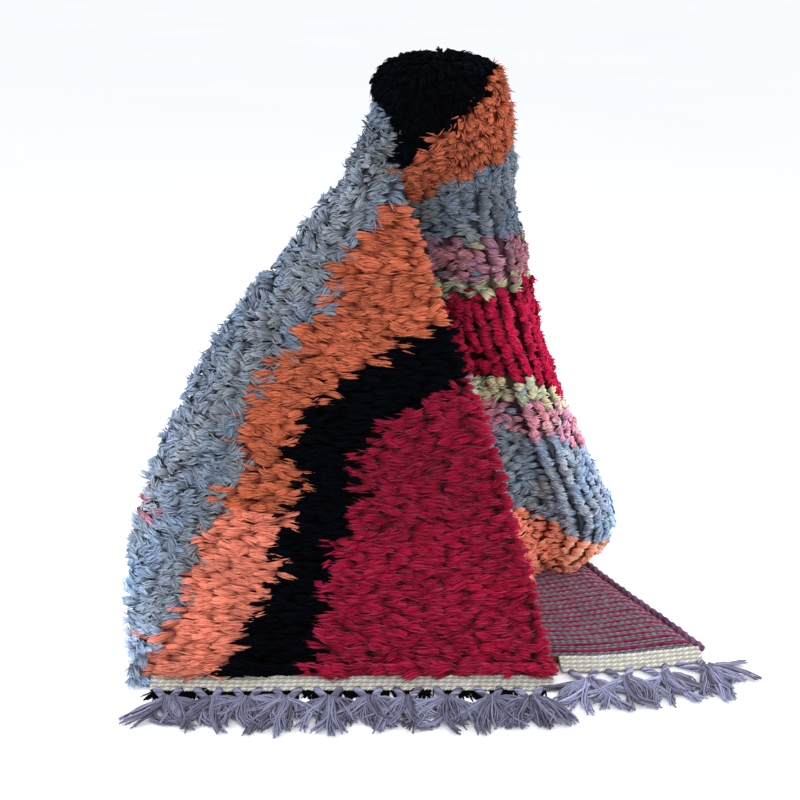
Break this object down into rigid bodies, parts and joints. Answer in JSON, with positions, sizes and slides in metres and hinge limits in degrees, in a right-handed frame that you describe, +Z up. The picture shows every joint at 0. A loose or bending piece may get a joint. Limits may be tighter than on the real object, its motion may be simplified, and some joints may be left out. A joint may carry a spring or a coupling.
{
  "type": "pile rug",
  "caption": "Thick hand-knotted wool rug with bold bands, wrapped round itself and stood on its fringed end, with one corner of its striped back on the floor.",
  "frame": {"origin": "on the floor, under the middle of the whole part's box", "axes": "+Z up, +X to the viewer's right along the fringed foot, -Y toward the viewer"},
  "size_m": [1.0738, 0.6958, 0.987],
  "materials": {
    "pile_wool": "matte",
    "end_wool": "matte",
    "side_wool": "matte"
  },
  "bodies": {
    "root": {"rug_body": "pile_wool", "end_fringe_front": "end_wool", "end_fringe_back": "end_wool", "side_cord": "side_wool"}
  },
  "joints": []
}
